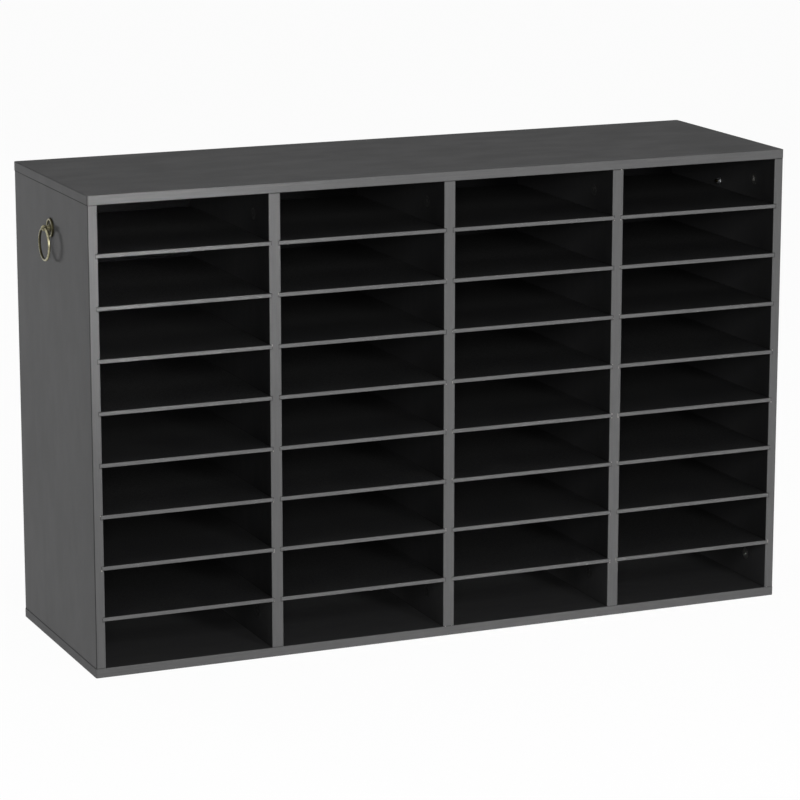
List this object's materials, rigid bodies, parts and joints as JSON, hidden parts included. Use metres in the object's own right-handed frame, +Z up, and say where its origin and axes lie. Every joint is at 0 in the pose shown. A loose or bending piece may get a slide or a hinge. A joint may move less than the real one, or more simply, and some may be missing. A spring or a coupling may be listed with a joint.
{
  "type": "pigeonhole mail sorter",
  "caption": "Low, wide cabinet of flat open pigeonholes for letter-size paper and mail, with thin slide-out shelves in grooved uprights and a brass ring pull on each side.",
  "frame": {"origin": "floor level, at the middle of the cabinet's width and depth", "axes": "+Z up; -Y out of the open front; +X to the right of someone who stands before it"},
  "size_m": [0.9836, 0.3, 0.608],
  "materials": {
    "black_laminate": "satin black laminate on particleboard",
    "black_hardboard": "matt black lacquered hardboard",
    "antique_brass": "antiqued, darkened in the hollows and rubbed bright on the edges",
    "cast_zinc": "bright as cast",
    "plated_steel": "bright zinc plated",
    "beech": "plain fluted beech"
  },
  "bodies": {
    "cabinet": {"top_panel": "black_laminate", "bottom_panel": "black_laminate", "left_side_panel": "black_laminate", "divider_1": "black_laminate", "divider_2": "black_laminate", "divider_3": "black_laminate", "right_side_panel": "black_laminate", "back_panel": "black_hardboard", "left_rosette": "antique_brass", "left_ring_bolt": "antique_brass", "right_rosette": "antique_brass", "right_ring_bolt": "antique_brass", "cam_discs": "cast_zinc", "cam_bolts": "plated_steel", "dowels": "beech", "ring_washers": "plated_steel", "ring_nuts": "plated_steel"},
    "left_ring": {"left_ring": "antique_brass"},
    "right_ring": {"right_ring": "antique_brass"},
    "shelf_c1_r1": {"shelf_c1_r1": "black_hardboard"},
    "shelf_c1_r2": {"shelf_c1_r2": "black_hardboard"},
    "shelf_c1_r3": {"shelf_c1_r3": "black_hardboard"},
    "shelf_c1_r4": {"shelf_c1_r4": "black_hardboard"},
    "shelf_c1_r5": {"shelf_c1_r5": "black_hardboard"},
    "shelf_c1_r6": {"shelf_c1_r6": "black_hardboard"},
    "shelf_c1_r7": {"shelf_c1_r7": "black_hardboard"},
    "shelf_c1_r8": {"shelf_c1_r8": "black_hardboard"},
    "shelf_c2_r1": {"shelf_c2_r1": "black_hardboard"},
    "shelf_c2_r2": {"shelf_c2_r2": "black_hardboard"},
    "shelf_c2_r3": {"shelf_c2_r3": "black_hardboard"},
    "shelf_c2_r4": {"shelf_c2_r4": "black_hardboard"},
    "shelf_c2_r5": {"shelf_c2_r5": "black_hardboard"},
    "shelf_c2_r6": {"shelf_c2_r6": "black_hardboard"},
    "shelf_c2_r7": {"shelf_c2_r7": "black_hardboard"},
    "shelf_c2_r8": {"shelf_c2_r8": "black_hardboard"},
    "shelf_c3_r1": {"shelf_c3_r1": "black_hardboard"},
    "shelf_c3_r2": {"shelf_c3_r2": "black_hardboard"},
    "shelf_c3_r3": {"shelf_c3_r3": "black_hardboard"},
    "shelf_c3_r4": {"shelf_c3_r4": "black_hardboard"},
    "shelf_c3_r5": {"shelf_c3_r5": "black_hardboard"},
    "shelf_c3_r6": {"shelf_c3_r6": "black_hardboard"},
    "shelf_c3_r7": {"shelf_c3_r7": "black_hardboard"},
    "shelf_c3_r8": {"shelf_c3_r8": "black_hardboard"},
    "shelf_c4_r1": {"shelf_c4_r1": "black_hardboard"},
    "shelf_c4_r2": {"shelf_c4_r2": "black_hardboard"},
    "shelf_c4_r3": {"shelf_c4_r3": "black_hardboard"},
    "shelf_c4_r4": {"shelf_c4_r4": "black_hardboard"},
    "shelf_c4_r5": {"shelf_c4_r5": "black_hardboard"},
    "shelf_c4_r6": {"shelf_c4_r6": "black_hardboard"},
    "shelf_c4_r7": {"shelf_c4_r7": "black_hardboard"},
    "shelf_c4_r8": {"shelf_c4_r8": "black_hardboard"}
  },
  "joints": [
    {"name": "left_ring_swing", "type": "hinge", "parent": "cabinet", "child": "left_ring", "pos_m": [-0.4878, 0, 0.54536], "axis": [0, 1, 0], "range_deg": [-10, 190]},
    {"name": "right_ring_swing", "type": "hinge", "parent": "cabinet", "child": "right_ring", "pos_m": [0.4878, 0, 0.54536], "axis": [0, -1, 0], "range_deg": [-10, 190]},
    {"name": "shelf_c1_r1_slide", "type": "slide", "parent": "cabinet", "child": "shelf_c1_r1", "axis": [0, -1, 0], "range_m": [0, 0.295]},
    {"name": "shelf_c1_r2_slide", "type": "slide", "parent": "cabinet", "child": "shelf_c1_r2", "axis": [0, -1, 0], "range_m": [0, 0.295]},
    {"name": "shelf_c1_r3_slide", "type": "slide", "parent": "cabinet", "child": "shelf_c1_r3", "axis": [0, -1, 0], "range_m": [0, 0.295]},
    {"name": "shelf_c1_r4_slide", "type": "slide", "parent": "cabinet", "child": "shelf_c1_r4", "axis": [0, -1, 0], "range_m": [0, 0.295]},
    {"name": "shelf_c1_r5_slide", "type": "slide", "parent": "cabinet", "child": "shelf_c1_r5", "axis": [0, -1, 0], "range_m": [0, 0.295]},
    {"name": "shelf_c1_r6_slide", "type": "slide", "parent": "cabinet", "child": "shelf_c1_r6", "axis": [0, -1, 0], "range_m": [0, 0.295]},
    {"name": "shelf_c1_r7_slide", "type": "slide", "parent": "cabinet", "child": "shelf_c1_r7", "axis": [0, -1, 0], "range_m": [0, 0.295]},
    {"name": "shelf_c1_r8_slide", "type": "slide", "parent": "cabinet", "child": "shelf_c1_r8", "axis": [0, -1, 0], "range_m": [0, 0.295]},
    {"name": "shelf_c2_r1_slide", "type": "slide", "parent": "cabinet", "child": "shelf_c2_r1", "axis": [0, -1, 0], "range_m": [0, 0.295]},
    {"name": "shelf_c2_r2_slide", "type": "slide", "parent": "cabinet", "child": "shelf_c2_r2", "axis": [0, -1, 0], "range_m": [0, 0.295]},
    {"name": "shelf_c2_r3_slide", "type": "slide", "parent": "cabinet", "child": "shelf_c2_r3", "axis": [0, -1, 0], "range_m": [0, 0.295]},
    {"name": "shelf_c2_r4_slide", "type": "slide", "parent": "cabinet", "child": "shelf_c2_r4", "axis": [0, -1, 0], "range_m": [0, 0.295]},
    {"name": "shelf_c2_r5_slide", "type": "slide", "parent": "cabinet", "child": "shelf_c2_r5", "axis": [0, -1, 0], "range_m": [0, 0.295]},
    {"name": "shelf_c2_r6_slide", "type": "slide", "parent": "cabinet", "child": "shelf_c2_r6", "axis": [0, -1, 0], "range_m": [0, 0.295]},
    {"name": "shelf_c2_r7_slide", "type": "slide", "parent": "cabinet", "child": "shelf_c2_r7", "axis": [0, -1, 0], "range_m": [0, 0.295]},
    {"name": "shelf_c2_r8_slide", "type": "slide", "parent": "cabinet", "child": "shelf_c2_r8", "axis": [0, -1, 0], "range_m": [0, 0.295]},
    {"name": "shelf_c3_r1_slide", "type": "slide", "parent": "cabinet", "child": "shelf_c3_r1", "axis": [0, -1, 0], "range_m": [0, 0.295]},
    {"name": "shelf_c3_r2_slide", "type": "slide", "parent": "cabinet", "child": "shelf_c3_r2", "axis": [0, -1, 0], "range_m": [0, 0.295]},
    {"name": "shelf_c3_r3_slide", "type": "slide", "parent": "cabinet", "child": "shelf_c3_r3", "axis": [0, -1, 0], "range_m": [0, 0.295]},
    {"name": "shelf_c3_r4_slide", "type": "slide", "parent": "cabinet", "child": "shelf_c3_r4", "axis": [0, -1, 0], "range_m": [0, 0.295]},
    {"name": "shelf_c3_r5_slide", "type": "slide", "parent": "cabinet", "child": "shelf_c3_r5", "axis": [0, -1, 0], "range_m": [0, 0.295]},
    {"name": "shelf_c3_r6_slide", "type": "slide", "parent": "cabinet", "child": "shelf_c3_r6", "axis": [0, -1, 0], "range_m": [0, 0.295]},
    {"name": "shelf_c3_r7_slide", "type": "slide", "parent": "cabinet", "child": "shelf_c3_r7", "axis": [0, -1, 0], "range_m": [0, 0.295]},
    {"name": "shelf_c3_r8_slide", "type": "slide", "parent": "cabinet", "child": "shelf_c3_r8", "axis": [0, -1, 0], "range_m": [0, 0.295]},
    {"name": "shelf_c4_r1_slide", "type": "slide", "parent": "cabinet", "child": "shelf_c4_r1", "axis": [0, -1, 0], "range_m": [0, 0.295]},
    {"name": "shelf_c4_r2_slide", "type": "slide", "parent": "cabinet", "child": "shelf_c4_r2", "axis": [0, -1, 0], "range_m": [0, 0.295]},
    {"name": "shelf_c4_r3_slide", "type": "slide", "parent": "cabinet", "child": "shelf_c4_r3", "axis": [0, -1, 0], "range_m": [0, 0.295]},
    {"name": "shelf_c4_r4_slide", "type": "slide", "parent": "cabinet", "child": "shelf_c4_r4", "axis": [0, -1, 0], "range_m": [0, 0.295]},
    {"name": "shelf_c4_r5_slide", "type": "slide", "parent": "cabinet", "child": "shelf_c4_r5", "axis": [0, -1, 0], "range_m": [0, 0.295]},
    {"name": "shelf_c4_r6_slide", "type": "slide", "parent": "cabinet", "child": "shelf_c4_r6", "axis": [0, -1, 0], "range_m": [0, 0.295]},
    {"name": "shelf_c4_r7_slide", "type": "slide", "parent": "cabinet", "child": "shelf_c4_r7", "axis": [0, -1, 0], "range_m": [0, 0.295]},
    {"name": "shelf_c4_r8_slide", "type": "slide", "parent": "cabinet", "child": "shelf_c4_r8", "axis": [0, -1, 0], "range_m": [0, 0.295]}
  ]
}
